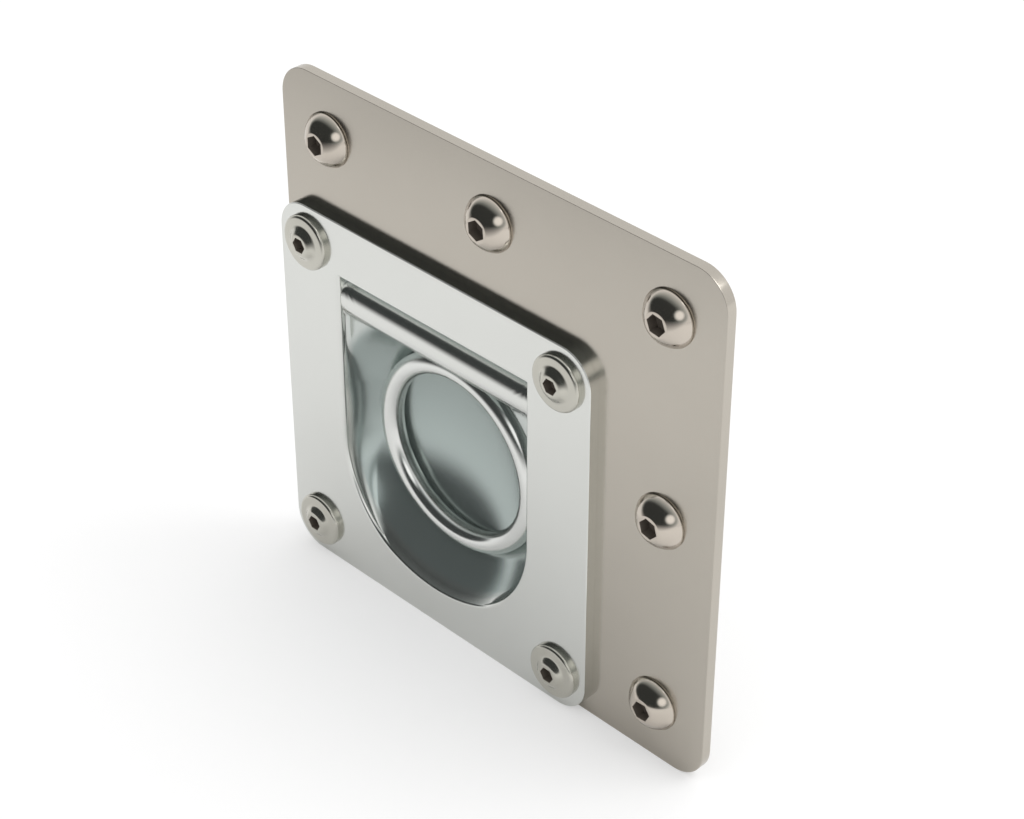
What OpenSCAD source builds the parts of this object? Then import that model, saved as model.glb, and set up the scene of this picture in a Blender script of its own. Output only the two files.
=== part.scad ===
/* Lashing eye: a dished pan with a swinging ring, bolted on a square backing plate.
   Origin: centre of the backing plate's rear face. X runs to the right, Z up, and the
   eye faces -Y. The pan's dish goes back past the rear face, through the plate's cut-out. */

/* [Backing plate] */
// Side of the square backing plate
plate_side = 150; // [140:1:200]
// Thickness of the backing plate
plate_t = 3; // [2:0.5:6]
// Corner radius of the backing plate
plate_corner_r = 9.5; // [4:0.5:14]
// Space between the dish's outer wall and the cut-out in the backing plate
cutout_gap = 1; // [0.5:0.25:2]

/* [Pan] */
// Side of the square pan
pan_side = 112; // [110:1:120]
// Thickness of the pan's sheet
pan_t = 3; // [2:0.5:4]
// Corner radius of the pan's flange
pan_corner_r = 9.5; // [4:0.5:12]
// Width of the recess between its straight walls
recess_w = 68.5; // [66:0.5:70]
// Height of the recess's top wall above the pan's centre
recess_top = 39.5; // [39:0.5:41]
// Drop of the recess's lowest point below the pan's centre
recess_bottom = 48; // [47:0.5:49]
// Radius of the rounded lip where the flange turns into the recess
lip_r = 2; // [1:0.25:2.5]
// Inner radius of the round dish in the recess's floor
dish_r = 53.7; // [52:0.1:56]
// Depth of the narrow ledge around the dish, from the pan's front face
ledge_depth = 2.8; // [2.5:0.1:4]

/* [Bead] */
// Radius of the convex bead across the top of the recess
bead_r = 5.8; // [5:0.1:6]
// How far the bead's crest lies behind the pan's front face
bead_sink = 0.7; // [0.5:0.1:1.5]
// Height of the bead's axis above the pan's centre
bead_z = 31.6; // [31.5:0.1:32]

/* [Ring] */
// Radius of the ring, from its centre to the middle of its rod
ring_r = 26.2; // [24:0.1:26.6]
// Diameter of the ring's rod
ring_rod_d = 6.2; // [5:0.1:6.6]
// Drop of the ring's centre below the pan's centre
ring_drop = 4.7; // [4.5:0.1:5.5]
// Depth of the ring's middle plane behind the pan's front face
ring_depth = 10.5; // [10:0.1:11]
// Space between the ring and the dish that it lies in
ring_rest_gap = 0.25; // [0.2:0.05:0.5]

/* [Ring keeper] */
// Width of the keeper clip along the ring
keeper_w = 8; // [6:0.5:8]
// Thickness of the keeper's strap
keeper_t = 1.5; // [1:0.25:2]
// Space between the keeper's eye and the ring's rod
keeper_gap = 0.35; // [0.35:0.05:0.5]
// Size of the keeper's foot on the back of the dish
keeper_foot = 16; // [14:1:20]

/* [Plate screws] */
// Distance from the plate's edges to its screws
plate_edge = 17; // [14:0.5:20]
// Thread diameter of the plate screws
plate_screw_d = 8; // [6:1:10]
// Length of the plate screws under the head
plate_screw_l = 16; // [14:1:30]
// Diameter of the plate screws' domed head
plate_head_d = 15; // [13:0.5:16]
// Height of the plate screws' domed head
plate_head_h = 4.6; // [4:0.1:5]
// Key size of the plate screws' socket
plate_socket = 5; // [4:0.5:6]

/* [Pan screws] */
// Distance from the flange's edges to the pan screws
pan_edge = 10.5; // [10:0.25:12]
// Thread diameter of the pan screws
pan_screw_d = 6; // [5:0.5:6]
// Length of the pan screws under the head
pan_screw_l = 16; // [14:1:30]
// Diameter of the pan screws' flange
pan_flange_d = 15.6; // [14:0.2:16]
// Thickness of the pan screws' flange
pan_flange_t = 1.8; // [1.2:0.1:2]
// Diameter of the button on top of the flange
pan_head_d = 10.6; // [10:0.2:11]
// Height of the pan screws' head, flange and button together
pan_head_h = 3.2; // [3:0.1:4]
// Key size of the pan screws' socket
pan_socket = 4; // [3:0.5:5]

/* [Nuts and washers] */
// Thickness of the washers
washer_t = 1.6; // [1:0.1:2]
// Radial space between a screw and its hole
hole_gap = 0.5; // [0.25:0.05:0.6]
// Radial space between a screw's thread and its nut
thread_gap = 0.05; // [0.02:0.01:0.1]

/* [Hidden] */

$fn = 96;

// Colours of the finishes
zinc = [0.82, 0.84, 0.81];
warm_steel = [0.70, 0.68, 0.64];
polished = [0.72, 0.71, 0.69];

// The pan's centre: its flange is flush with the backing plate's left and bottom edges
pan_c = -(plate_side - pan_side) / 2;

// Depths along Y, from the front to the back
pan_front = -plate_t - pan_t;
bead_y = pan_front + bead_sink + bead_r;
recess_r = recess_w / 2;
recess_z = recess_r - recess_bottom;

// The ring's rod lies in the dish, which is centred on the ring's own axis
rod_r = ring_rod_d / 2;
ring_y = pan_front + ring_depth;
ring_z = -ring_drop;
rod_reach = dish_r - rod_r - ring_rest_gap;
dish_y = ring_y - sqrt(pow(rod_reach, 2) - pow(ring_r, 2));
pivot_z = ring_z + ring_r;

// The keeper stands square to the dish where the top of the ring lies
keeper_tilt = atan2(ring_r, ring_y - dish_y);
keeper_in_r = rod_r + keeper_gap;
keeper_out_r = keeper_in_r + keeper_t;
dish_out_r = dish_r + pan_t;

// Places of the screws, as [x, z]: each row keeps its distance from the sheet's edges
plate_pitch = plate_side / 2 - plate_edge;
pan_pitch = pan_side - 2 * pan_edge;
plate_places = [
  [-plate_pitch, plate_pitch], [0, plate_pitch], [plate_pitch, plate_pitch],
  [plate_pitch, 0], [plate_pitch, -plate_pitch]
];
pan_places = [
  for (s = [[-1, 1], [1, 1], [1, -1], [-1, -1]])
    [pan_c + s[0] * pan_pitch / 2, pan_c + s[1] * pan_pitch / 2]
];
// Turn of each plate screw's socket and of each pan screw's socket
plate_turns = [0, 4, 22, 16, 34];
pan_turns = [30, 30, 30, 30];

// Washer and nut sizes follow the thread diameter
function washer_d(d) = 2 * d;
function nut_af(d) = d * 1.625;
function nut_h(d) = d * 0.8125;
function hole_r(d) = d / 2 + hole_gap;

// A square with round corners, as a flat shape
module round_square(side, r) {
  square([side, side - 2 * r], center = true);
  square([side - 2 * r, side], center = true);
  for (x = [-1, 1], y = [-1, 1])
    translate([x * (side / 2 - r), y * (side / 2 - r)]) circle(r);
}

// The recess seen from the front: square at the top, half round at the bottom
module recess_outline(grow) {
  r = recess_r + grow;
  translate([0, recess_z]) circle(r);
  translate([-r, recess_z]) square([2 * r, recess_top + grow - recess_z]);
}

// A flat shape in X and Z that runs from depth y0 to depth y1
module slab(y0, y1) { translate([0, y1, 0]) rotate([90, 0, 0]) linear_extrude(y1 - y0) children(); }

// Moves a piece from the pan's centre to its place on the backing plate
module at_pan() { translate([pan_c, 0, pan_c]) children(); }

// All that lies in front of the recess's floor: a level ledge with the round dish sunk into it
module floor_space(grow) {
  slab(pan_front - 1, pan_front + ledge_depth + grow) square(2 * pan_side, center = true);
  translate([0, dish_y, ring_z]) sphere(dish_r + grow);
}

// The recess and its walls: the outline run back as far as the floor
module recess_space(grow) {
  intersection() {
    slab(pan_front - 1, dish_y + dish_r + 2 * pan_t) recess_outline(grow);
    floor_space(grow);
  }
}

// Section of the lip's quarter round: X runs outward from the recess's wall, Y back from the face
module lip_section() {
  intersection() {
    square(lip_r);
    translate([lip_r, lip_r]) circle(lip_r);
  }
}

// The rounded lip: straight along the sides and the top, half round below
module lip() {
  side_h = recess_top + lip_r - recess_z;
  translate([0, pan_front, 0]) {
    translate([0, 0, recess_z]) rotate([-90, 0, 0]) rotate_extrude(angle = 180)
      translate([recess_r, 0]) lip_section();
    translate([recess_r, 0, recess_z]) linear_extrude(side_h) lip_section();
    translate([-recess_r, 0, recess_z]) linear_extrude(side_h) mirror([1, 0]) lip_section();
    translate([-recess_r - lip_r, 0, recess_top]) rotate([90, 0, 90])
      linear_extrude(2 * (recess_r + lip_r)) mirror([1, -1]) lip_section();
  }
}

// The keeper's frame: its origin is the middle of the ring's rod, its Y square to the dish
module at_keeper() { translate([0, ring_y, pivot_z]) rotate([keeper_tilt, 0, 0]) children(); }

// Opening through the dish for the keeper's eye
module keeper_slot() {
  wide = keeper_w + 2 * hole_gap;
  high = 2 * (keeper_out_r + hole_gap);
  at_keeper() translate([-wide / 2, 0, -high / 2]) cube([wide, rod_r + 3 * pan_t, high]);
}

// Square backing plate with the pan's cut-out and the screws' holes
module backing_plate() {
  color(warm_steel) difference() {
    slab(-plate_t, 0) round_square(plate_side, plate_corner_r);
    at_pan() slab(-plate_t - 1, 1) recess_outline(pan_t + cutout_gap);
    for (p = plate_places)
      translate([p[0], 1, p[1]]) rotate([90, 0, 0])
        cylinder(r = hole_r(plate_screw_d), h = plate_t + 2);
    for (p = pan_places)
      translate([p[0], 1, p[1]]) rotate([90, 0, 0])
        cylinder(r = hole_r(pan_screw_d), h = plate_t + 2);
  }
}

// Pressed pan: flange, rounded lip, recess with its dish, and the convex bead, all one sheet
module pan() {
  color(zinc) difference() {
    union() {
      at_pan() difference() {
        union() {
          slab(pan_front, -plate_t) round_square(pan_side, pan_corner_r);
          difference() {
            recess_space(pan_t);
            slab(pan_front - 2, pan_front + lip_r) square(2 * pan_side, center = true);
          }
        }
        recess_space(0);
        slab(pan_front - 1, pan_front + lip_r) recess_outline(lip_r);
        keeper_slot();
      }
      at_pan() lip();
      at_pan() intersection() {
        translate([-recess_r - lip_r, bead_y, bead_z]) rotate([0, 90, 0])
          cylinder(r = bead_r, h = 2 * (recess_r + lip_r));
        recess_space(pan_t / 2);
      }
    }
    for (p = pan_places)
      translate([p[0], -plate_t + 1, p[1]]) rotate([90, 0, 0])
        cylinder(r = hole_r(pan_screw_d), h = pan_t + 2);
  }
}

// Closed round ring
module ring() {
  color(zinc) at_pan() translate([0, ring_y, ring_z]) rotate([90, 0, 0])
    rotate_extrude() translate([ring_r, 0]) circle(rod_r);
}

// Keeper: an open eye round the ring's rod, on a stem through the dish, with a foot behind it
module ring_keeper() {
  mouth_start = 152;
  mouth_end = 276;
  mouth_mid = (mouth_start + mouth_end) / 2;
  far = 2 * keeper_out_r;
  stem_h = keeper_out_r;
  color(warm_steel) at_pan() {
    difference() {
      union() {
        translate([-keeper_w / 2, ring_y, pivot_z]) rotate([90, 0, 90])
          linear_extrude(keeper_w) circle(keeper_out_r);
        at_keeper() translate([-keeper_w / 2, 0, -stem_h / 2])
          cube([keeper_w, rod_r + ring_rest_gap + pan_t + keeper_t / 2, stem_h]);
      }
      translate([-keeper_w, ring_y, pivot_z]) rotate([90, 0, 90]) linear_extrude(2 * keeper_w) {
        circle(keeper_in_r);
        polygon([
          [0, 0], far * [cos(mouth_start), sin(mouth_start)],
          2 * far * [cos(mouth_mid), sin(mouth_mid)], far * [cos(mouth_end), sin(mouth_end)]
        ]);
      }
    }
    intersection() {
      difference() {
        translate([0, dish_y, ring_z]) sphere(dish_out_r + keeper_t);
        translate([0, dish_y, ring_z]) sphere(dish_out_r);
      }
      at_keeper() translate([-keeper_foot / 2, 0, -keeper_foot / 2])
        cube([keeper_foot, rod_r + 5 * pan_t, keeper_foot]);
    }
  }
}

// Hexagon of a given size across its flats
module hexagon(af) { circle(r = af / 2 / cos(30), $fn = 6); }

// Threaded shank with a small chamfer at its end, running back from the head's seat
module shank(d, l) {
  tip = d / 10;
  translate([0, 0, tip - l]) cylinder(d = d, h = l - tip);
  translate([0, 0, -l]) cylinder(r1 = d / 2 - tip, r2 = d / 2, h = tip);
}

// Domed head: a ball's cap on a low edge, cut flat round the socket
module dome(d, h, edge, flat) {
  rise_h = h - edge;
  ball = (pow(d / 2, 2) - pow(flat, 2) + pow(rise_h, 2)) / (2 * rise_h);
  ball_r = sqrt(pow(flat, 2) + pow(ball, 2));
  rotate_extrude() intersection() {
    translate([0, h - ball]) circle(ball_r);
    square([d / 2, h]);
  }
}

// Screws stand on their seat and are turned so that the head faces the front
module screw_place(p, y, turn) { translate([p[0], y, p[1]]) rotate([90, 0, 0]) rotate([0, 0, turn]) children(); }

module plate_screw(i) {
  socket_flat = plate_socket / 2 / cos(30) + 0.35;
  color(polished) screw_place(plate_places[i], -plate_t, plate_turns[i]) {
    difference() {
      dome(plate_head_d, plate_head_h, plate_head_h / 10, socket_flat);
      translate([0, 0, plate_head_h * 0.4]) linear_extrude(plate_head_h) hexagon(plate_socket);
    }
    shank(plate_screw_d, plate_screw_l);
  }
}

module pan_screw(i) {
  button_h = pan_head_h - pan_flange_t;
  socket_flat = pan_socket / 2 / cos(30) + 0.35;
  color(warm_steel) screw_place(pan_places[i], pan_front, pan_turns[i]) {
    difference() {
      union() {
        cylinder(d1 = pan_flange_d, d2 = pan_flange_d - pan_flange_t / 2, h = pan_flange_t);
        translate([0, 0, pan_flange_t]) dome(pan_head_d, button_h, button_h / 10, socket_flat);
      }
      translate([0, 0, pan_head_h * 0.3]) linear_extrude(pan_head_h) hexagon(pan_socket);
    }
    shank(pan_screw_d, pan_screw_l);
  }
}

module washer(p, d) {
  color(warm_steel) translate([p[0], washer_t, p[1]]) rotate([90, 0, 0]) difference() {
    cylinder(d = washer_d(d), h = washer_t);
    translate([0, 0, -1]) cylinder(r = d / 2 + hole_gap / 2, h = washer_t + 2);
  }
}

// Hexagon nut with both rims chamfered at 30 degrees
module nut(p, d) {
  h = nut_h(d);
  flat_r = nut_af(d) / 2;
  wide = flat_r / cos(30) + d / 8;
  bevel = (wide - flat_r) * tan(30);
  color(warm_steel) translate([p[0], washer_t + h, p[1]]) rotate([90, 0, 0]) difference() {
    intersection() {
      linear_extrude(h) hexagon(2 * flat_r);
      rotate_extrude() polygon([
        [0, 0], [flat_r, 0], [wide, bevel], [wide, h - bevel], [flat_r, h], [0, h]
      ]);
    }
    translate([0, 0, -1]) cylinder(r = d / 2 + thread_gap, h = h + 2);
  }
}

backing_plate();
pan();
ring();
ring_keeper();
plate_screw(0);  // plate_screw_1
plate_screw(1);  // plate_screw_2
plate_screw(2);  // plate_screw_3
plate_screw(3);  // plate_screw_4
plate_screw(4);  // plate_screw_5
washer(plate_places[0], plate_screw_d);  // plate_washer_1
washer(plate_places[1], plate_screw_d);  // plate_washer_2
washer(plate_places[2], plate_screw_d);  // plate_washer_3
washer(plate_places[3], plate_screw_d);  // plate_washer_4
washer(plate_places[4], plate_screw_d);  // plate_washer_5
nut(plate_places[0], plate_screw_d);  // plate_nut_1
nut(plate_places[1], plate_screw_d);  // plate_nut_2
nut(plate_places[2], plate_screw_d);  // plate_nut_3
nut(plate_places[3], plate_screw_d);  // plate_nut_4
nut(plate_places[4], plate_screw_d);  // plate_nut_5
pan_screw(0);  // pan_screw_1
pan_screw(1);  // pan_screw_2
pan_screw(2);  // pan_screw_3
pan_screw(3);  // pan_screw_4
washer(pan_places[0], pan_screw_d);  // pan_washer_1
washer(pan_places[1], pan_screw_d);  // pan_washer_2
washer(pan_places[2], pan_screw_d);  // pan_washer_3
washer(pan_places[3], pan_screw_d);  // pan_washer_4
nut(pan_places[0], pan_screw_d);  // pan_nut_1
nut(pan_places[1], pan_screw_d);  // pan_nut_2
nut(pan_places[2], pan_screw_d);  // pan_nut_3
nut(pan_places[3], pan_screw_d);  // pan_nut_4
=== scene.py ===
"""Looks of the lashing eye: finishes, screw threads, the pressed pan's soft bends, and the stage.

The pieces' sizes are in millimetres and are turned to metres where they are used.
The stage's sizes are in metres.
"""

import math

import bpy
import numpy as np
from mathutils import Matrix, Vector


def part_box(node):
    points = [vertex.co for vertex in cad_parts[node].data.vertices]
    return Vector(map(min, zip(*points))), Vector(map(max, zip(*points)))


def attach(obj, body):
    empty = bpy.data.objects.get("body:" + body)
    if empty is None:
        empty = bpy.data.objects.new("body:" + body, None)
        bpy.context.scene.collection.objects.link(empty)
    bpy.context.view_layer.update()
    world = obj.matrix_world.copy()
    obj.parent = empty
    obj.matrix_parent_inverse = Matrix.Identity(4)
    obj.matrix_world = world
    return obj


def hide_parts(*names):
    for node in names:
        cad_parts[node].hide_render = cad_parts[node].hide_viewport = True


bl_info = {
    "name": "Lashing eye",
    "version": (1, 0, 0),
    "blender": (4, 5, 0),
    "location": "View3D > Sidebar > Lashing eye",
    "description": "Dresses the packed lashing eye with its finishes and its finer shapes",
    "category": "Object",
}

MM = 0.001

# Points nearer than this, in metres, are one point
WELD = 0.000002
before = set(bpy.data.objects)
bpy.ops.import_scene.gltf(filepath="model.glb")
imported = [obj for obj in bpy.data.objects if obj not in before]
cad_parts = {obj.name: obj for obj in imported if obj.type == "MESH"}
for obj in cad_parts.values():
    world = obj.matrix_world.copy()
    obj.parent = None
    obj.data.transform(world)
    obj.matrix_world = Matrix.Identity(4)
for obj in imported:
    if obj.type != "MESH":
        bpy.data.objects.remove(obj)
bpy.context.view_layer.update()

PLATE_SCREWS = [f"plate_screw_{i}" for i in range(1, 6)]
PAN_SCREWS = [f"pan_screw_{i}" for i in range(1, 5)]
PLATE_NUTS = [f"plate_nut_{i}" for i in range(1, 6)]
PAN_NUTS = [f"pan_nut_{i}" for i in range(1, 5)]
WASHERS = [f"plate_washer_{i}" for i in range(1, 6)] + [f"pan_washer_{i}" for i in range(1, 5)]

# Faces meeting at more than this keep a crisp line between them
CRISP = math.radians(32)

# The camera looks down the diagonal of a cube, in degrees
LOOK_DOWN = 35.2644
LOOK_LEFT = 45

# The lamp stands high up at the right, behind the object, in metres and watts
LAMP_PLACE = (0.9, 0.5, 1.4)
LAMP_SIDE = 1.0
LAMP_POWER = 8

# Sockets of a Mix node: two numbers, two colours and the mixed colour
NUMBER_A, NUMBER_B = 2, 3
COLOUR_A, COLOUR_B = 6, 7
COLOUR_OUT = 2
WHITE = (1, 1, 1, 1)

# Light that the room gives to matt surfaces, and the tint of its dark side in metal
ROOM_LIGHT = 0.95
DARK_TINT = (0.90, 1.0, 0.99, 1)


class StageSizes(bpy.types.PropertyGroup):
    """Camera and floor."""

    lens: bpy.props.FloatProperty(
        name="Lens", description="Focal length of the camera in millimetres", default=89.26, min=10
    )
    eye: bpy.props.FloatVectorProperty(
        name="Camera", description="Place of the camera", size=3, subtype="XYZ", unit="LENGTH",
        default=(0.372454, -0.367770, 0.372250), precision=5,
    )
    floor_side: bpy.props.FloatProperty(
        name="Floor", description="Side of the pale floor", default=12.0, unit="LENGTH"
    )
    floor_tone: bpy.props.FloatVectorProperty(
        name="Floor colour", description="Colour of the pale floor", subtype="COLOR", size=3, min=0, max=1,
        default=(0.96, 0.96, 0.96),
    )
    floor_lift: bpy.props.FloatProperty(
        name="Shadow lift", description="Share of the floor's shadow that is filled in",
        default=0.35, min=0, max=1,
    )


# Sides of the room as metal shows them: azimuth and elevation in degrees from the front, how much
# each axis is stretched, the cosines where the side begins and is full, and the light at both
DARK_SIDE = ((-35, 20), (0.35, 1.0, 1.2), 0.56, 0.86, 1.0, 0.05)
SOFT_BOX = ((46, 24), (1.0, 1.0, 1.0), 0.94, 0.985, 0.0, 1.3)


def toward(azimuth, elevation):
    """The direction at an azimuth from the front, to the right, and an elevation, in degrees."""
    a, e = math.radians(azimuth), math.radians(elevation)
    return Vector((math.sin(a) * math.cos(e), -math.cos(a) * math.cos(e), math.sin(e)))


def tone(code):
    """A linear colour from an sRGB hex value."""
    parts = [int(code[i : i + 2], 16) / 255 for i in (0, 2, 4)]
    return [c / 12.92 if c <= 0.04045 else ((c + 0.055) / 1.055) ** 2.4 for c in parts] + [1.0]


def add(tree, kind, inputs=None, links=None, **settings):
    """One node with its settings, the values of its inputs and the sockets that feed it."""
    made = tree.nodes.new(kind)
    for key, value in settings.items():
        setattr(made, key, value)
    for key, value in (inputs or {}).items():
        made.inputs[key].default_value = value
    for key, socket in (links or {}).items():
        tree.links.new(socket, made.inputs[key])
    return made


def per_mm(size):
    """The scale of a noise whose features are this many millimetres apart."""
    return 1 / (size * MM)


def metal(
    name, light, dark, mottle_mm, roughness, spread, grain_mm, grain_height_mm, stretch,
    metallic=1.0, depth_painted_shade=None,
):
    """A metal with a slow change of tone, a finer change of gloss and a shallow grain.

    For a drawn sheet, painted shade can darken its tone and dull its shine from one depth to another.
    """
    made = bpy.data.materials.new(name)
    made.use_nodes = True
    tree = made.node_tree
    tree.nodes.clear()
    place = add(tree, "ShaderNodeTexCoord").outputs["Object"]
    drawn = add(tree, "ShaderNodeMapping", {"Scale": stretch}, {"Vector": place}).outputs[0]
    mottle = add(tree, "ShaderNodeTexNoise", {"Scale": per_mm(mottle_mm), "Detail": 3.0}, {"Vector": place})
    shown = add(
        tree, "ShaderNodeMix", {COLOUR_A: tone(light), COLOUR_B: tone(dark)},
        {"Factor": mottle.outputs[0]}, data_type="RGBA",
    ).outputs[COLOUR_OUT]
    grain = add(tree, "ShaderNodeTexNoise", {"Scale": per_mm(grain_mm), "Detail": 2.0}, {"Vector": drawn})
    gloss = add(
        tree, "ShaderNodeMapRange",
        {"To Min": roughness - spread, "To Max": roughness + spread}, {"Value": grain.outputs[0]},
    )
    bump = add(
        tree, "ShaderNodeBump", {"Strength": 1.0, "Distance": grain_height_mm * MM},
        {"Height": grain.outputs[0]},
    )
    surface = add(
        tree, "ShaderNodeBsdfPrincipled", {"Metallic": metallic},
        {"Roughness": gloss.outputs[0], "Normal": bump.outputs[0]},
    )
    # Painted shade: from one depth to another the tone turns to the shade's colour and the metallic shine
    # drops
    if depth_painted_shade:
        painted_shade_tone, duller, begins, full = depth_painted_shade
        depth = add(tree, "ShaderNodeSeparateXYZ", links={0: place}).outputs["Y"]
        share = add(
            tree, "ShaderNodeMapRange", {"From Min": begins * MM, "From Max": full * MM}, {"Value": depth}
        ).outputs[0]
        shown = add(
            tree, "ShaderNodeMix", {COLOUR_B: tone(painted_shade_tone)}, {"Factor": share, COLOUR_A: shown},
            data_type="RGBA",
        ).outputs[COLOUR_OUT]
        shine = add(tree, "ShaderNodeMix", {NUMBER_A: metallic, NUMBER_B: duller}, {"Factor": share})
        tree.links.new(shine.outputs[0], surface.inputs["Metallic"])
    tree.links.new(shown, surface.inputs["Base Color"])
    add(tree, "ShaderNodeOutputMaterial", links={"Surface": surface.outputs[0]})
    return made


PRESSED_ZINC = ("dbdcd8", "d5d6d2", 30, 0.19, 0.02, 1.2, 0.0008, (1, 1, 1), 1.0)
FINISHES = {
    # Cold-rolled stainless sheet, satin: warm grey, its reflections blurred by the fine rolled grain
    "satin_rolled_stainless": ("bcb6ac", "b4aea4", 45, 0.20, 0.03, 0.6, 0.0006, (1, 1, 0.15)),
    # Pressed steel sheet with bright zinc plating: pale and greenish white
    "bright_zinc_pressed_steel": PRESSED_ZINC,
    # The same sheet where it is drawn into the dish, with painted shade that makes it duller and bluer
    # there, matched to the photo's tone
    "bright_zinc_dish_painted_shade": (*PRESSED_ZINC, ("aab4b1", 0.84, -4.2, -2.2)),
    # Round bar, bent and butt welded, with the same plating and a smoother skin
    "bright_zinc_round_bar": ("e0e1de", "d9dad7", 20, 0.19, 0.02, 1.0, 0.0004, (1, 1, 1)),
    # Cold-formed stainless button heads, tumbled to a shine
    "tumbled_stainless": ("c9c0b5", "bcb4a9", 8, 0.13, 0.02, 0.5, 0.0003, (1, 1, 1)),
    # Turned flanged heads, left satin, so that they stay paler and softer than the domes
    "turned_satin_stainless": ("c6c4bb", "bab8ae", 8, 0.20, 0.03, 0.4, 0.0004, (1, 1, 1)),
    # Nuts and washers: plain blanked and tapped stainless, a little duller
    "tapped_stainless": ("bfbfba", "b0b0aa", 6, 0.24, 0.04, 0.4, 0.0006, (1, 1, 1)),
    # Bent strap of the keeper, as it comes off the coil
    "bent_strap_stainless": ("b4b1a8", "a8a59c", 10, 0.28, 0.04, 0.5, 0.0008, (1, 0.2, 1)),
    # Walls and bottom of a socket: painted shade, dark brown and barely metallic, for the shade inside the
    # hollow
    "socket_painted_shade_stainless": ("6f675e", "5c554d", 2, 0.50, 0.05, 0.3, 0.0010, (1, 1, 1), 0.25),
}


def finish(name):
    """The material of that name, made the first time that it is asked for."""
    return bpy.data.materials.get(name) or metal(name, *FINISHES[name])


def dress(piece, material):
    """Gives the piece one material."""
    piece.data.materials.clear()
    piece.data.materials.append(material)
    return piece


def alone(piece):
    """Makes the piece the only selected and active object."""
    bpy.ops.object.select_all(action="DESELECT")
    piece.select_set(True)
    bpy.context.view_layer.objects.active = piece


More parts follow.
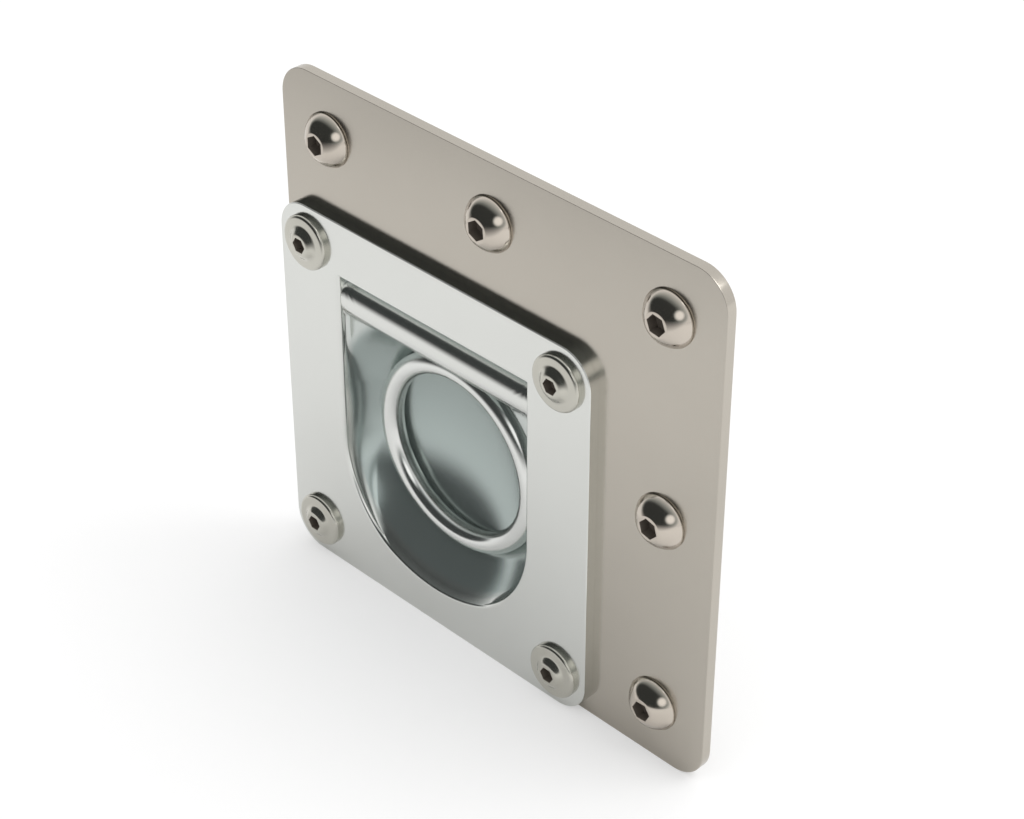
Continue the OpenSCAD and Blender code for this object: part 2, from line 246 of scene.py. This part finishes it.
class LASHING_OT_stage(bpy.types.Operator):
    """Pale floor, soft studio light and the camera"""

    bl_idname = "lashing.stage"
    bl_label = "Stage"

    def execute(self, context):
        sizes = context.scene.lashing_stage
        scene = context.scene
        scene.view_settings.view_transform = "Standard"
        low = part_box("backing_plate")[0].z
        bpy.ops.object.select_all(action="DESELECT")
        bpy.ops.mesh.primitive_plane_add(size=sizes.floor_side, location=(0, 0, low))
        floor = context.object
        floor.name = "floor"
        dress(floor, self.floor_paint(sizes, low))
        self.surroundings(scene)
        bpy.ops.object.camera_add(
            location=sizes.eye, rotation=(math.radians(90 - LOOK_DOWN), 0, math.radians(LOOK_LEFT))
        )
        camera = context.object
        camera.data.sensor_width = 36
        camera.data.lens = sizes.lens
        camera.data.clip_start = 0.01
        camera.data.clip_end = 50
        scene.camera = camera
        bpy.ops.object.light_add(type="AREA", location=LAMP_PLACE)
        lamp = context.object
        lamp.rotation_euler = (Vector((0, 0, 0)) - lamp.location).to_track_quat("-Z", "Y").to_euler()
        lamp.data.shape = "SQUARE"
        lamp.data.size = LAMP_SIDE
        lamp.data.energy = LAMP_POWER
        return {"FINISHED"}

    def floor_paint(self, sizes, low):
        """Matt pale paint that the camera sees as white, its shadow partly filled in by a painted glow; in
        reflections, painted shade darkens it towards the room's dark side.
        """
        made = bpy.data.materials.new("pale_floor_with_painted_light")
        made.use_nodes = True
        tree = made.node_tree
        tree.nodes.clear()
        ray = add(tree, "ShaderNodeLightPath")
        camera_ray, glossy_ray = ray.outputs["Is Camera Ray"], ray.outputs["Is Glossy Ray"]
        place = add(tree, "ShaderNodeTexCoord").outputs["Object"]
        way = add(tree, "ShaderNodeVectorMath", {1: (0, 0, low)}, {0: place}).outputs[0]
        # Painted shade: in reflections the floor darkens towards the room's dark side
        shade = self.lobe(tree, way, *DARK_SIDE)
        seen = add(tree, "ShaderNodeMix", {NUMBER_A: 1.0}, {"Factor": glossy_ray, NUMBER_B: shade})
        base = add(
            tree, "ShaderNodeMix", {COLOUR_A: [*sizes.floor_tone, 1], COLOUR_B: WHITE},
            {"Factor": camera_ray}, data_type="RGBA",
        )
        colour = add(
            tree, "ShaderNodeVectorMath", links={0: base.outputs[COLOUR_OUT], "Scale": seen.outputs[0]},
            operation="SCALE",
        ).outputs[0]
        paint = add(tree, "ShaderNodeBsdfDiffuse", links={"Color": colour})
        glow = add(tree, "ShaderNodeEmission", links={"Color": colour})
        # Painted light: for the camera the floor glows, filling in part of its shadow
        share = add(tree, "ShaderNodeMath", {1: sizes.floor_lift}, {0: camera_ray}, operation="MULTIPLY")
        both = add(
            tree, "ShaderNodeMixShader",
            links={0: share.outputs[0], 1: paint.outputs[0], 2: glow.outputs[0]},
        )
        add(tree, "ShaderNodeOutputMaterial", links={"Surface": both.outputs[0]})
        return made

    def lobe(self, tree, way, side, stretch, outer, inner, start, end):
        """A value that goes from start to end as the way turns from outer towards one side."""
        drawn = add(tree, "ShaderNodeVectorMath", {1: stretch}, {0: way}, operation="MULTIPLY")
        unit = add(tree, "ShaderNodeVectorMath", links={0: drawn.outputs[0]}, operation="NORMALIZE")
        middle = (toward(*side) * Vector(stretch)).normalized()
        facing = add(
            tree, "ShaderNodeVectorMath", {1: middle}, {0: unit.outputs[0]}, operation="DOT_PRODUCT"
        )
        return add(
            tree, "ShaderNodeMapRange",
            {"From Min": outer, "From Max": inner, "To Min": start, "To Max": end},
            {"Value": facing.outputs["Value"]},
        ).outputs[0]

    def surroundings(self, scene):
        """A white room with a soft dark side at the front above, and a soft box, for metal to show."""
        world = bpy.data.worlds.new("studio")
        scene.world = world
        world.use_nodes = True
        tree = world.node_tree
        tree.nodes.clear()
        ray = add(tree, "ShaderNodeLightPath")
        camera_ray, glossy_ray = ray.outputs["Is Camera Ray"], ray.outputs["Is Glossy Ray"]
        way = add(tree, "ShaderNodeTexCoord").outputs["Generated"]
        side = self.lobe(tree, way, *DARK_SIDE)
        box = self.lobe(tree, way, *SOFT_BOX)
        shade = add(tree, "ShaderNodeMath", links={0: side, 1: box}, operation="MAXIMUM").outputs[0]
        glossy = add(tree, "ShaderNodeMix", {NUMBER_A: ROOM_LIGHT}, {"Factor": glossy_ray, NUMBER_B: shade})
        seen = add(
            tree, "ShaderNodeMix", {NUMBER_B: 1.0}, {"Factor": camera_ray, NUMBER_A: glossy.outputs[0]}
        )
        tint = add(
            tree, "ShaderNodeMix", {COLOUR_A: DARK_TINT, COLOUR_B: WHITE}, {"Factor": shade},
            data_type="RGBA",
        ).outputs[COLOUR_OUT]
        colour = add(
            tree, "ShaderNodeMix", {COLOUR_A: WHITE}, {"Factor": glossy_ray, COLOUR_B: tint},
            data_type="RGBA",
        ).outputs[COLOUR_OUT]
        sky = add(tree, "ShaderNodeBackground", links={"Color": colour, "Strength": seen.outputs[0]})
        add(tree, "ShaderNodeOutputWorld", links={"Surface": sky.outputs[0]})


class LASHING_OT_ring(bpy.types.Operator):
    """Puts the finish on the ring, which keeps its own shape"""

    bl_idname = "lashing.ring"
    bl_label = "Ring"

    def execute(self, context):
        dress(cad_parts["ring"], finish("bright_zinc_round_bar"))
        return {"FINISHED"}


def mm(label, text, default):
    """A size in millimetres that a panel can show."""
    return bpy.props.FloatProperty(name=label, description=text, default=default)


class PanSizes(bpy.types.PropertyGroup):
    """The pressed pan. Its lip, bends, dish and bottom follow the photo closer than the solid does."""

    flange_side: mm("Flange side", "Side of the square flange", 112.0)
    corner: mm("Flange corner", "Corner radius of the flange", 9.5)
    sheet: mm("Sheet", "Thickness of the pressed sheet", 3.0)
    half_width: mm("Half width", "Half the width of the recess", 34.25)
    top: mm("Top wall", "Height of the recess's top wall", 39.5)
    bottom: mm("Bottom", "Drop of the recess's lowest point", 45.2)
    lip: mm("Lip radius", "Radius of the rolled lip", 1.1)
    ledge_depth: mm("Ledge depth", "Depth of the ledge at the bead", 2.8)
    dish_radius: mm("Dish radius", "Radius of the round dish", 51.0)
    dish_deepest: mm("Dish depth", "Deepest point of the dish", 21.18)
    dish_drop: mm("Dish drop", "Drop of the dish's centre", 3.3)
    bead_radius: mm("Bead radius", "Radius of the bead", 5.8)
    bead_sink: mm("Bead sink", "Depth of the bead's crest", 0.7)
    bead_height: mm("Bead height", "Height of the bead's axis", 31.6)
    bend: mm("Floor bend", "Radius of the bend from wall to floor", 6.0)


def soft_max(a, b, reach):
    """The larger of two depths, with the crease between them rounded over a short reach."""
    near = np.clip(reach - np.abs(a - b), 0, None) / reach
    return np.maximum(a, b) + near * near * reach / 4


# The ledge fades away below this height, over this length and to this rise, in millimetres
FADE_TOP, FADE_LENGTH, FADE_RISE = -8, 16, 6
# Above the bead's axis the ledge is deeper by this much, reached over this length
BEHIND_DROP, BEHIND_LENGTH = 1.8, 2
# Roundings between ledge and dish and between bead and ledge
DISH_BLEND, BEAD_BLEND = 2.0, 0.5
# The bead is round below its crest, and fuller, as a squarer curve, above it
ROUND, FULLER = 2.0, 2.8
NO_BEAD = 99.0


def floor_at(p, x, z, grow):
    """Depth of the floor behind the pan's face: a ledge at the bead, with the dish sunk into it."""
    level = p.ledge_depth + grow
    if not grow:
        fade = np.clip((FADE_TOP - z) / FADE_LENGTH, 0, 1)
        behind = BEHIND_DROP * np.clip((z - p.bead_height) / BEHIND_LENGTH, 0, 1)
        level = level - FADE_RISE * fade * fade * (3 - 2 * fade) + behind
    ball = (p.dish_radius + grow) ** 2 - x * x - (z + p.dish_drop) ** 2
    dish = p.dish_deepest - p.dish_radius + np.sqrt(np.clip(ball, 0, None))
    depth = soft_max(level, dish, DISH_BLEND)
    if grow:
        return depth
    off = (z - p.bead_height) / p.bead_radius
    power = np.where(off > 0, FULLER, ROUND)
    bead = p.bead_sink + p.bead_radius * (1 - np.clip(1 - np.abs(off) ** power, 0, 1) ** (1 / power))
    bead = np.where(np.abs(off) < 1, bead, NO_BEAD)
    return -soft_max(-depth, -bead, BEAD_BLEND)


# Columns along the recess's lowest turn, its sides and half its top
TURN_POINTS, SIDE_POINTS, TOP_POINTS = 61, 67, 43


def recess_columns(p):
    """Places along the recess's outline, and the point of its middle line that each one faces."""
    mid_low = p.half_width - p.bottom
    mid_high = p.top - p.half_width
    quarter = np.radians(np.linspace(-90, 0, TURN_POINTS))[:-1]
    side = np.linspace(mid_low, p.top, SIDE_POINTS)[:-1]
    across = np.linspace(p.half_width, 0, TOP_POINTS)
    right = np.concatenate([
        np.stack([p.half_width * np.cos(quarter), mid_low + p.half_width * np.sin(quarter)], 1),
        np.stack([np.full_like(side, p.half_width), side], 1),
        np.stack([across, np.full_like(across, p.top)], 1),
    ])
    outline = np.concatenate([right, right[-2::-1] * [-1, 1]])
    middle = np.stack([0 * outline[:, 0], np.clip(outline[:, 1], mid_low, mid_high)], 1)
    return outline, middle


def flange_reach(p, middle, way, inset):
    """Where each column's line meets the flange's round-cornered edge, less an inset."""
    core = p.flange_side / 2 - p.corner
    near, far = np.zeros(len(way)), np.full(len(way), 2 * p.flange_side)
    for _ in range(40):
        half = (near + far) / 2
        at = middle + way * half[:, None]
        over = np.abs(at) - core
        gap = np.hypot(*np.clip(over, 0, None).T) + np.minimum(over.max(1), 0) - p.corner + inset
        near, far = np.where(gap < 0, half, near), np.where(gap < 0, far, half)
    return middle + way * half[:, None]


# Inset of the rows round the dish's middle, and a gap so narrow that two rows hold a crease
CORE = 12.0
HAIR = 0.02
# A narrow flat row beside a rounding keeps the shading of the face beyond it flat
FLAT_ROW = 0.05
# How far past the wall the floor's depth is read for the size of the bend between them
PAST_WALL = 0.5
# A bend from wall to floor is this share of its depth long, and at least this long, in millimetres
BEND_SHARE, LEAST_BEND = 0.82, 1.2
# Roundings of the flange's front edge and of the bend behind the lip
BRIM, BACK_TURN = 0.25, 0.8


def pressed_rows(p):
    """The sheet's surface, row by row, from the middle of its front to the middle of its back."""
    outline, middle = recess_columns(p)
    way = outline - middle
    span = p.half_width
    unit = way / np.linalg.norm(way, axis=1)[:, None]

    def inset(s):
        return middle + way * (1 - np.asarray(s) / span)[..., None]

    def row(s, depth):
        at = inset(np.broadcast_to(s, len(way)))
        return np.stack([at[:, 0], np.broadcast_to(depth, len(way)), at[:, 1]], 1)

    def depth_at(s, grow):
        at = inset(np.broadcast_to(s, len(way)))
        return floor_at(p, at[:, 0], at[:, 1], grow)

    # Low down there is no wall: the lip rolls over until it meets the dish's own slope
    back = p.dish_radius - p.dish_deepest
    meet = math.sqrt((p.dish_radius + p.lip) ** 2 - (p.lip + back) ** 2)
    slope = math.asin(meet / (p.dish_radius + p.lip))
    low = outline[:, 1] < -p.dish_drop
    depth_here = np.where(low, depth_at(0.0, 0), 2 * p.lip)
    turn_end = np.arccos(np.clip((p.lip - depth_here) / p.lip, 0, math.cos(slope)))
    along = unit[:, 1] * (middle[:, 1] + p.dish_drop)
    lift = (middle[:, 1] + p.dish_drop) ** 2
    touching = span + along - np.sqrt(along**2 - lift + meet**2)
    ball_at = -p.lip * np.sin(turn_end)
    sloping = low & (touching > ball_at)
    ball_at = np.where(sloping, touching, ball_at)
    wall_at = ball_at + p.lip * np.sin(turn_end)
    wall_start = p.lip * (1 - np.cos(turn_end))
    bend = np.clip(depth_at(wall_at + PAST_WALL, 0) - p.lip - PAST_WALL, 0, p.bend) * (depth_here > p.lip)
    reach = np.maximum(BEND_SHARE * bend, wall_at + LEAST_BEND)
    wall_end = np.maximum(depth_at(wall_at, 0) - bend, wall_start)
    edge = p.top - p.bead_height + p.bead_radius
    inner = np.unique(np.concatenate([np.linspace(CORE, span, 34), [edge - HAIR, edge + HAIR]]))[::-1]
    rows = [row(s, depth_at(s, 0)) for s in inner]
    rows += [row(s, depth_at(s, 0)) for s in (CORE + (reach - CORE) * k / 16 for k in range(1, 17))]
    for t in np.radians(np.linspace(90, 0, 13)[1:]):
        s = wall_at + (reach - wall_at) * (1 - np.cos(t))
        rows.append(row(s, depth_at(s, 0) - bend * (1 - np.sin(t))))
    for k in (0.66, 0.33):
        rows.append(row(wall_at, wall_start + (wall_end - wall_start) * k))
    for k in np.linspace(1, 0, 11):
        t = turn_end * k
        rows.append(row(ball_at + p.lip * np.sin(t), p.lip * (1 - np.cos(t))))
    rows.append(row(-p.lip - FLAT_ROW, 0.0))
    rolled = [
        (BRIM * (1 - math.sin(t)), BRIM * (1 - math.cos(t))) for t in np.radians(np.linspace(0, 90, 5))
    ]
    for out, depth in [(BRIM + FLAT_ROW, 0.0), *rolled, (0.0, p.sheet - HAIR), (HAIR, p.sheet)]:
        at = flange_reach(p, middle, unit, out)
        rows.append(np.stack([at[:, 0], np.full(len(at), depth), at[:, 1]], 1))
    rows.append(row(-p.sheet - BACK_TURN - FLAT_ROW, p.sheet))
    for t in np.radians(np.linspace(0, 90, 5)):
        rows.append(
            row(-p.sheet - BACK_TURN * (1 - math.sin(t)), p.sheet + BACK_TURN * (1 - math.cos(t)))
        )
    back_bend = np.clip(depth_at(-p.sheet, p.sheet) - p.sheet - BACK_TURN - 0.1, 0, p.bend + p.sheet)
    back_reach = np.maximum(reach, 1.0) + p.sheet
    for t in np.radians(np.linspace(0, 90, 13)):
        s = -p.sheet + back_reach * (1 - np.cos(t))
        rows.append(row(s, depth_at(s, p.sheet) - back_bend * (1 - np.sin(t))))
    rows += [row(s, depth_at(s, p.sheet)) for s in (reach + (CORE - reach) * k / 12 for k in range(1, 12))]
    rows += [row(s, depth_at(s, p.sheet)) for s in np.linspace(CORE, span, 30)]
    return np.array(rows)


# The pan's screw holes, and half the sheet's thickness, where they are centred, in millimetres
HOLE_RADIUS, HOLE_LENGTH = 3.5, 9
HALF_SHEET = 1.5


def box_cutter(size, at, tilt):
    """A block for a boolean, turned about X."""
    bpy.ops.object.select_all(action="DESELECT")
    bpy.ops.mesh.primitive_cube_add(size=1, location=at, rotation=(tilt, 0, 0), scale=size)
    return bpy.context.object


def cut_with(piece, cutters):
    """Cuts the joined cutters out of the piece and removes them."""
    alone(cutters[0])
    for each in cutters:
        each.select_set(True)
    if len(cutters) > 1:
        bpy.ops.object.join()
    cutter = bpy.context.object
    alone(piece)
    cut = piece.modifiers.new("cut", "BOOLEAN")
    cut.operation = "DIFFERENCE"
    cut.solver = "EXACT"
    cut.object = cutter
    bpy.ops.object.modifier_apply(modifier=cut.name)
    bpy.data.objects.remove(cutter)


def polish(piece):
    """Smooth shading that keeps crisp lines, with the flat faces kept flat up to their bends."""
    alone(piece)
    bpy.ops.object.shade_smooth_by_angle(angle=CRISP)
    even = piece.modifiers.new("even", "WEIGHTED_NORMAL")
    even.keep_sharp = True
    even.weight = 60
    bpy.ops.object.modifier_apply(modifier=even.name)


class LASHING_OT_pan(bpy.types.Operator):
    """The pan, pressed from one sheet, with soft bends from its walls to its floor"""

    bl_idname = "lashing.pan"
    bl_label = "Pressed pan"

    def execute(self, context):
        p = context.scene.lashing_pan
        rows = pressed_rows(p)
        count, across = rows.shape[:2]
        bpy.ops.object.select_all(action="DESELECT")
        bpy.ops.mesh.primitive_grid_add(x_subdivisions=across - 1, y_subdivisions=count - 1, size=0.1)
        piece = context.object
        piece.name = "pressed_pan"
        if len(piece.data.vertices) != count * across:
            raise RuntimeError(f"the blank has {len(piece.data.vertices)} points, not {count * across}")
        low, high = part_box("pan")
        centre = Vector(((low.x + high.x) / 2, low.y, low.z + p.flange_side * MM / 2))
        placed = rows.reshape(-1, 3) * MM + np.array(centre)
        piece.data.vertices.foreach_set("co", placed.ravel())
        alone(piece)
        bpy.ops.object.mode_set(mode="EDIT")
        bpy.ops.mesh.select_all(action="SELECT")
        bpy.ops.mesh.remove_doubles(threshold=WELD)
        bpy.ops.mesh.normals_make_consistent(inside=False)
        bpy.ops.object.mode_set(mode="OBJECT")
        cut_with(piece, self.openings(centre))
        # The dish gets the painted shade; faces at the flat rim keep the plain pressed sheet
        dress(piece, finish("bright_zinc_dish_painted_shade"))
        piece.data.materials.append(finish("bright_zinc_pressed_steel"))
        margin = (p.flange_side / 2 - 5) * MM
        rim = [
            max(abs(point.co.x - centre.x), abs(point.co.z - centre.z)) > margin
            for point in piece.data.vertices
        ]
        flat = [int(any(rim[i] for i in face.vertices)) for face in piece.data.polygons]
        piece.data.polygons.foreach_set("material_index", flat)
        polish(piece)
        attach(piece, "base")
        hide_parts("pan")
        return {"FINISHED"}

    def openings(self, centre):
        """The slot for the keeper and the four screw holes."""
        size = Vector((9, 12.1, 10.9)) * MM
        tilt = math.radians(31.28)
        pivot = Vector((0, 10.5, 21.5)) * MM
        middle = pivot + Matrix.Rotation(tilt, 3, "X") @ Vector((0, size.y / 2, 0))
        cutters = [box_cutter(size, centre + middle, tilt)]
        for name in PAN_SCREWS:
            low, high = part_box(name)
            bpy.ops.object.select_all(action="DESELECT")
            bpy.ops.mesh.primitive_cylinder_add(
                vertices=64, radius=HOLE_RADIUS * MM, depth=HOLE_LENGTH * MM,
                rotation=(math.radians(90), 0, 0),
                location=((low.x + high.x) / 2, centre.y + HALF_SHEET * MM, (low.z + high.z) / 2),
            )
            cutters.append(bpy.context.object)
        return cutters


class ScrewSizes(bpy.types.PropertyGroup):
    """Heads, sockets and threads of the two kinds of screw, in millimetres."""

    dome_width: mm("Dome width", "Width of the domed head", 15.0)
    dome_height: mm("Dome height", "Height of the domed head", 4.6)
    dome_key: mm("Dome key", "Key size of the domed screw", 5.0)
    dome_pitch: mm("M8 pitch", "Thread pitch of the domed screw", 1.25)
    flange_width: mm("Flange width", "Width of the screw's flange", 15.6)
    flange_height: mm("Flange height", "Height of the flange", 1.8)
    button_width: mm("Button width", "Width of the raised button", 10.6)
    button_height: mm("Head height", "Height of the whole head", 3.2)
    button_key: mm("Button key", "Key size of the flanged screw", 4.0)
    button_pitch: mm("M6 pitch", "Thread pitch of the flanged screw", 1.0)
    length: mm("Length", "Length under the head", 16.0)


def turned(name, profile, sides=72):
    """A turned piece: a disc is drawn out along the profile of radius and height, ring by ring."""
    bpy.ops.object.select_all(action="DESELECT")
    first, start = profile[0]
    bpy.ops.mesh.primitive_circle_add(
        vertices=sides, radius=first * MM, fill_type="NGON", location=(0, 0, 0)
    )
    piece = bpy.context.object
    piece.name = name
    piece.data.transform(Matrix.Translation((0, 0, start * MM)))
    bpy.ops.object.mode_set(mode="EDIT")
    bpy.ops.mesh.select_all(action="SELECT")
    for (r0, h0), (r1, h1) in zip(profile, profile[1:]):
        bpy.ops.mesh.extrude_region_move(TRANSFORM_OT_translate={"value": (0, 0, (h1 - h0) * MM)})
        bpy.ops.transform.resize(value=(r1 / r0, r1 / r0, 1), center_override=(0, 0, h1 * MM))
    bpy.ops.mesh.select_all(action="SELECT")
    bpy.ops.mesh.normals_make_consistent(inside=False)
    bpy.ops.object.mode_set(mode="OBJECT")
    return piece


def dome_profile(width, height, edge, flat, steps):
    """Radius and height along a ball's cap that stands on a low edge and ends at a flat top."""
    rise = height - edge
    below = ((width / 2) ** 2 - flat**2 + rise**2) / (2 * rise)
    ball = math.hypot(flat, below)
    first = math.asin(width / 2 / ball)
    last = math.asin(flat / ball)
    return [
        (ball * math.sin(a), height - below + ball * math.cos(a))
        for a in np.linspace(first, last, steps)
    ]


# Width of the flat round a socket's mouth, in millimetres
SOCKET_RIM = 0.35
# Depth of a thread as a share of its pitch, and the bevel at a screw's tip, in millimetres
THREAD_DEPTH = 0.6
TIP_BEVEL = 0.3
# The winding starts at an odd height, so that no corner of it lies on a trimming plane
ODD_START = 1.37


def thread(width, pitch, start, end):
    """A thread between two heights: a core with a bevelled end, and one ridge wound round it."""
    root = width / 2 - THREAD_DEPTH * pitch
    crest = width / 2 - HAIR
    core = turned("core", [(root, start), (root, end + TIP_BEVEL), (root - TIP_BEVEL, end)], sides=48)
    ridge = [(root - 0.1, 0.06), (crest, 0.44), (crest, 0.56), (root - 0.1, 0.94)]
    first = end - ODD_START * pitch
    bpy.ops.object.select_all(action="DESELECT")
    bpy.ops.mesh.primitive_circle_add(vertices=len(ridge), radius=MM, fill_type="NOTHING")
    wound = bpy.context.object
    for point, (radius, part) in zip(wound.data.vertices, ridge):
        point.co = (radius * MM, 0, (first + part * pitch) * MM)
    wind = wound.modifiers.new("wind", "SCREW")
    wind.axis = "Z"
    wind.steps = wind.render_steps = 32
    wind.screw_offset = pitch * MM
    wind.iterations = math.ceil((start - end) / pitch) + 2
    bpy.ops.object.modifier_apply(modifier=wind.name)
    bpy.ops.object.mode_set(mode="EDIT")
    bpy.ops.mesh.select_all(action="SELECT")
    bpy.ops.mesh.fill_holes(sides=len(ridge))
    bpy.ops.mesh.select_all(action="SELECT")
    bpy.ops.mesh.normals_make_consistent(inside=False)
    bpy.ops.object.mode_set(mode="OBJECT")
    outside = width / 2 + 0.1
    tip = root - TIP_BEVEL - 0.05
    profile = [(tip, end), (outside, end + outside - tip), (outside, start + 0.2)]
    trim(wound, turned("envelope", profile, sides=48))
    return core, wound


def trim(piece, keeper):
    """Keeps only what lies inside the other piece."""
    alone(piece)
    keep = piece.modifiers.new("keep", "BOOLEAN")
    keep.operation = "INTERSECT"
    keep.solver = "EXACT"
    keep.object = keeper
    bpy.ops.object.modifier_apply(modifier=keep.name)
    bpy.data.objects.remove(keeper)


def with_socket(head, key, bottom, top):
    """Sinks a hexagon socket with a drilled bottom."""
    corner = key / 2 / math.cos(math.radians(30))
    cut_with(head, [turned("socket", [(0.2, bottom - 0.5), (corner, bottom), (corner, top + 1)], sides=6)])


def screw(name, head, width, pitch, length, nut_end):
    """Joins a head, its plain shank and the thread, which shows behind the nut."""
    shank = turned("shank", [(width / 2 - 0.05, 0), (width / 2 - 0.05, -nut_end)], sides=48)
    wound = thread(width, pitch, -nut_end, -length)
    alone(head)
    for each in (shank, *wound):
        each.select_set(True)
    bpy.ops.object.join()
    head.name = name
    polish(head)
    return head


def socket_faces(piece, key):
    """1 for each face inside the socket and 0 for the others."""
    corner = (key / 2 / math.cos(math.radians(30)) + 0.02) * MM
    points = piece.data.vertices
    return [
        int(all(points[i].co.z > 0.0002 and points[i].co.xy.length < corner for i in face.vertices))
        for face in piece.data.polygons
    ]


def place_copies(master, key, names, turns, seat, material):
    """One copy of the screw for each node, turned as its socket is turned."""
    inside = socket_faces(master, key)
    for name, turn in zip(names, turns):
        low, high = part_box(name)
        copy = bpy.data.objects.new(f"{name}_threaded", master.data.copy())
        bpy.context.scene.collection.objects.link(copy)
        copy.data.transform(
            Matrix.Translation(((low.x + high.x) / 2, seat, (low.z + high.z) / 2))
            @ Matrix.Rotation(math.radians(90), 4, "X")
            @ Matrix.Rotation(math.radians(turn), 4, "Z")
        )
        dress(copy, finish(material))
        # Faces inside each socket get the painted shade
        copy.data.materials.append(finish("socket_painted_shade_stainless"))
        copy.data.polygons.foreach_set("material_index", inside)
        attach(copy, "base")
        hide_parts(name)
    bpy.data.objects.remove(master)


class LASHING_OT_domed_screws(bpy.types.Operator):
    """The five domed socket screws with their threads"""

    bl_idname = "lashing.domed_screws"
    bl_label = "Domed screws"

    def execute(self, context):
        p = context.scene.lashing_screws
        flat = p.dome_key / 2 / math.cos(math.radians(30)) + SOCKET_RIM
        edge = p.dome_height / 10
        cap = dome_profile(p.dome_width, p.dome_height, edge, flat, 22)
        half = p.dome_width / 2
        head = turned("dome", [(half - 0.25, 0), (half - 0.07, 0.07), (half, 0.25)] + cap, sides=96)
        with_socket(head, p.dome_key, p.dome_height * 0.4, p.dome_height)
        nut_end = 10.0
        master = screw("domed_screw", head, 8.0, p.dome_pitch, p.length, nut_end)
        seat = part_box("backing_plate")[0].y
        turns = (0, 4, 22, 16, 34)
        place_copies(
            master, p.dome_key, PLATE_SCREWS, turns, seat, "tumbled_stainless"
        )
        return {"FINISHED"}


class LASHING_OT_flanged_screws(bpy.types.Operator):
    """The four flanged button screws with their threads"""

    bl_idname = "lashing.flanged_screws"
    bl_label = "Flanged screws"

    def execute(self, context):
        p = context.scene.lashing_screws
        flat = p.button_key / 2 / math.cos(math.radians(30)) + SOCKET_RIM
        half = p.flange_width / 2
        brim = 0.9
        rolled = [
            (half - brim + brim * math.cos(a), p.flange_height - 0.1 - brim + brim * math.sin(a))
            for a in np.radians(np.linspace(0, 84, 9))
        ]
        foot = p.button_width / 2
        rise = (p.button_height - p.flange_height) / 2
        button = [
            (foot + (flat - foot) * k, p.flange_height + rise * (1 - math.cos(math.pi * k)))
            for k in np.linspace(0, 1, 17)
        ]
        profile = [(half, 0)] + rolled + button
        head = turned("button", profile, sides=96)
        with_socket(head, p.button_key, p.button_height * 0.3, p.button_height)
        nut_end = 11.5
        master = screw("flanged_screw", head, 6.0, p.button_pitch, p.length, nut_end)
        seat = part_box("pan")[0].y
        turns = (30, 30, 30, 30)
        place_copies(
            master, p.button_key, PAN_SCREWS, turns, seat, "turned_satin_stainless"
        )
        return {"FINISHED"}


# Edge breaks in millimetres, the finish and the record's slot of the blanked and bent pieces
EASED = (
    (("backing_plate",), 0.3, "satin_rolled_stainless", "plate_steel"),
    (("ring_keeper",), 0.2, "bent_strap_stainless", "keeper_steel"),
    (tuple(WASHERS), 0.15, "tapped_stainless", "washer"),
    (tuple(PLATE_NUTS + PAN_NUTS), 0.12, "tapped_stainless", "nut"),
)


class LASHING_OT_eased_edges(bpy.types.Operator):
    """Breaks the sharp edges of the plate, the keeper, the washers and the nuts, as deburring does"""

    bl_idname = "lashing.eased_edges"
    bl_label = "Eased edges"

    def execute(self, context):
        for names, width, material, slot in EASED:
            for name in names:
                self.ease(name, width, material, slot)
        return {"FINISHED"}

    def ease(self, name, width, material, slot):
        piece = bpy.data.objects.new(f"{name}_eased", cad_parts[name].data.copy())
        bpy.context.scene.collection.objects.link(piece)
        alone(piece)
        bpy.ops.object.mode_set(mode="EDIT")
        bpy.ops.mesh.select_all(action="SELECT")
        bpy.ops.mesh.remove_doubles(threshold=WELD)
        bpy.ops.mesh.dissolve_limited(angle_limit=math.radians(0.5))
        bpy.ops.object.mode_set(mode="OBJECT")
        bevel = piece.modifiers.new("break", "BEVEL")
        bevel.width = width * MM
        bevel.segments = 2
        bevel.limit_method = "ANGLE"
        bevel.angle_limit = math.radians(40)
        bpy.ops.object.modifier_apply(modifier=bevel.name)
        dress(piece, finish(material))
        polish(piece)
        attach(piece, "base")
        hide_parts(name)


class LASHING_PT_panel(bpy.types.Panel):
    """Lists the pieces"""

    bl_label = "Lashing eye"
    bl_idname = "LASHING_PT_panel"
    bl_space_type = "VIEW_3D"
    bl_region_type = "UI"
    bl_category = "Lashing eye"

    def draw(self, context):
        for each in OPERATORS:
            self.layout.operator(each.bl_idname)


GROUPS = {"lashing_stage": StageSizes, "lashing_pan": PanSizes, "lashing_screws": ScrewSizes}
OPERATORS = [
    LASHING_OT_stage, LASHING_OT_ring, LASHING_OT_pan, LASHING_OT_domed_screws,
    LASHING_OT_flanged_screws, LASHING_OT_eased_edges,
]


def register():
    for group in GROUPS.values():
        bpy.utils.register_class(group)
    for each in [*OPERATORS, LASHING_PT_panel]:
        bpy.utils.register_class(each)
    for name, group in GROUPS.items():
        setattr(bpy.types.Scene, name, bpy.props.PointerProperty(type=group))


def unregister():
    for name in GROUPS:
        delattr(bpy.types.Scene, name)
    for each in [LASHING_PT_panel, *reversed(OPERATORS), *reversed(GROUPS.values())]:
        bpy.utils.unregister_class(each)


def main():
    register()
    bpy.ops.lashing.stage()
    bpy.ops.lashing.ring()
    bpy.ops.lashing.pan()
    bpy.ops.lashing.domed_screws()
    bpy.ops.lashing.flanged_screws()
    bpy.ops.lashing.eased_edges()


if __name__ == "__main__":
    main()
